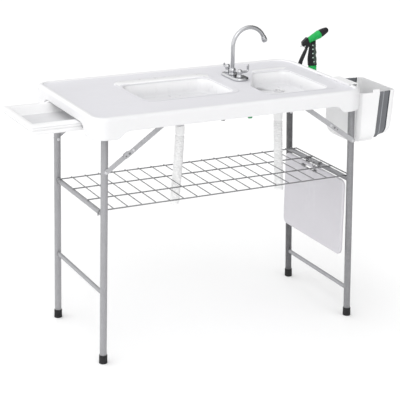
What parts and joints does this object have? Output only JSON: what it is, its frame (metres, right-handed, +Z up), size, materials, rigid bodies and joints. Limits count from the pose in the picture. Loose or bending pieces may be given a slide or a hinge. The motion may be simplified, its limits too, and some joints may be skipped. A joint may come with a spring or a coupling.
{
  "type": "fish cleaning table",
  "caption": "Folding outdoor table with two sunken basins, arched faucet, spray nozzle, wire shelf, hanging cutting board, slide-out tray, hanging bin and tubular legs with folding braces.",
  "frame": {"origin": "on the floor, under the middle of the whole object's box", "axes": "+Z up, +X along the table towards the bin's end, +Y to the back"},
  "size_m": [1.454, 0.604, 1.1341],
  "materials": {
    "white_hdpe": "smooth moulded, fine satin grain",
    "basin_plastic": "smooth moulded, slight gloss",
    "board_plastic": "fine matt cutting surface",
    "hose_plastic": "flexible hose, satin",
    "grey_steel": "grey powder coat, satin",
    "wire_steel": "plated wire, satin",
    "chrome": "polished",
    "strainer_steel": "bright pressed steel",
    "rubber_black": "matt",
    "black_plastic": "matt",
    "green_plastic": "gloss",
    "green_connector": "gloss",
    "grey_tpr": "soft matt"
  },
  "bodies": {
    "table": {"tabletop": "white_hdpe", "large_basin": "basin_plastic", "small_basin": "basin_plastic", "large_basin_drain": "basin_plastic", "small_basin_drain": "basin_plastic", "large_basin_drain_hose": "hose_plastic", "small_basin_drain_hose": "hose_plastic", "faucet_base": "chrome", "rear_inlet": "black_plastic", "front_inlet": "green_connector", "tray_rail_front": "grey_steel", "tray_rail_rear": "grey_steel", "nozzle_holder": "black_plastic", "board_hanger_rear": "black_plastic", "board_hanger_front": "black_plastic", "left_front_hinge_rail": "grey_steel", "left_rear_hinge_rail": "grey_steel", "right_front_hinge_rail": "grey_steel", "right_rear_hinge_rail": "grey_steel", "right_front_leg": "grey_steel", "right_rear_leg": "grey_steel", "right_front_foot": "rubber_black", "right_rear_foot": "rubber_black", "right_upper_crossbar": "grey_steel", "right_lower_crossbar": "grey_steel", "right_front_lower_link": "grey_steel", "right_rear_lower_link": "grey_steel", "right_front_upper_link": "grey_steel", "right_rear_upper_link": "grey_steel"},
    "left_frame": {"left_front_leg": "grey_steel", "left_rear_leg": "grey_steel", "left_front_foot": "rubber_black", "left_rear_foot": "rubber_black", "left_upper_crossbar": "grey_steel", "left_lower_crossbar": "grey_steel"},
    "left_lower_links": {"left_front_lower_link": "grey_steel", "left_rear_lower_link": "grey_steel"},
    "left_upper_links": {"left_front_upper_link": "grey_steel", "left_rear_upper_link": "grey_steel"},
    "shelf": {"wire_shelf": "wire_steel", "right_utility_hook": "wire_steel"},
    "board": {"cutting_board": "board_plastic"},
    "tray": {"side_tray": "white_hdpe"},
    "bin": {"bin_inner_shell": "white_hdpe", "bin_folding_band": "grey_tpr"},
    "bin_outer": {"bin_outer_shell": "white_hdpe"},
    "spout": {"faucet_spout": "chrome"},
    "front_tap": {"front_handle": "chrome"},
    "rear_tap": {"rear_handle": "chrome"},
    "large_strainer": {"large_basin_strainer": "strainer_steel"},
    "small_strainer": {"small_basin_strainer": "strainer_steel"},
    "nozzle": {"nozzle_handle": "black_plastic", "nozzle_base_ring": "green_plastic", "nozzle_barrel": "green_plastic"},
    "tip": {"nozzle_tip": "black_plastic"},
    "trigger": {"nozzle_trigger": "black_plastic"},
    "lock": {"nozzle_lock_wire": "wire_steel"}
  },
  "joints": [
    {"name": "left_leg_fold", "type": "hinge", "parent": "table", "child": "left_frame", "pos_m": [-0.4842, 0, 0.9], "axis": [0, -1, 0], "range_deg": [0, 79]},
    {"name": "left_lower_link_fold", "type": "hinge", "parent": "left_frame", "child": "left_lower_links", "pos_m": [-0.48688, 0, 0.73], "axis": [0, -1, 0], "range_deg": [0, 90.2]},
    {"name": "left_upper_link_fold", "type": "hinge", "parent": "table", "child": "left_upper_links", "pos_m": [-0.25038, 0, 0.895], "axis": [0, -1, 0], "range_deg": [-10.95, 0]},
    {"name": "shelf_lift", "type": "slide", "parent": "table", "child": "shelf", "axis": [0, 0, 1], "range_m": [0, 0.27]},
    {"name": "board_slide_off", "type": "slide", "parent": "table", "child": "board", "axis": [-1, 0, 0], "range_m": [0, 0.09]},
    {"name": "tray_slide", "type": "slide", "parent": "table", "child": "tray", "axis": [1, 0, 0], "range_m": [-0.03, 0.16]},
    {"name": "bin_lift_off", "type": "slide", "parent": "table", "child": "bin", "axis": [0, 0, 1], "range_m": [0, 0.05]},
    {"name": "bin_collapse", "type": "slide", "parent": "bin", "child": "bin_outer", "axis": [-1, 0, 0], "range_m": [0, 0.082], "deforming": ["bin_folding_band"]},
    {"name": "spout_swivel", "type": "hinge", "parent": "table", "child": "spout", "pos_m": [0.18, 0.085, 0.96], "axis": [0, 0, 1], "range_deg": [-100, 100]},
    {"name": "front_tap_turn", "type": "hinge", "parent": "table", "child": "front_tap", "pos_m": [0.185, 0.035, 0.96], "axis": [0, 0, 1], "range_deg": [-90, 0]},
    {"name": "rear_tap_turn", "type": "hinge", "parent": "table", "child": "rear_tap", "pos_m": [0.185, 0.135, 0.96], "axis": [0, 0, 1], "range_deg": [-90, 0]},
    {"name": "large_strainer_lift", "type": "slide", "parent": "table", "child": "large_strainer", "axis": [0, 0, 1], "range_m": [0, 0.04]},
    {"name": "small_strainer_lift", "type": "slide", "parent": "table", "child": "small_strainer", "axis": [0, 0, 1], "range_m": [0, 0.04]},
    {"name": "nozzle_lift_off", "type": "slide", "parent": "table", "child": "nozzle", "axis": [0, 0, 1], "range_m": [0, 0.04]},
    {"name": "nozzle_tip_turn", "type": "hinge", "parent": "nozzle", "child": "tip", "pos_m": [0.655, 0.215, 1.0495], "axis": [0.9129, 0, 0.4082], "range_deg": [0, 90]},
    {"name": "nozzle_trigger_squeeze", "type": "hinge", "parent": "nozzle", "child": "trigger", "pos_m": [0.587, 0.215, 1.001], "axis": [0, -1, 0], "range_deg": [0, 14], "stiffness_Nm_per_rad": 0.4},
    {"name": "nozzle_lock_turn", "type": "hinge", "parent": "nozzle", "child": "lock", "pos_m": [0.577, 0.215, 1.003], "axis": [0, -1, 0], "range_deg": [0, 50]}
  ],
  "couplings": [
    {"joint": "left_lower_link_fold", "follows": "left_leg_fold", "ratio": 1.1408},
    {"joint": "left_upper_link_fold", "follows": "left_leg_fold", "ratio": -0.13772},
    {"joint": "shelf_lift", "follows": "left_leg_fold", "m_per_rad": 0.1955}
  ]
}
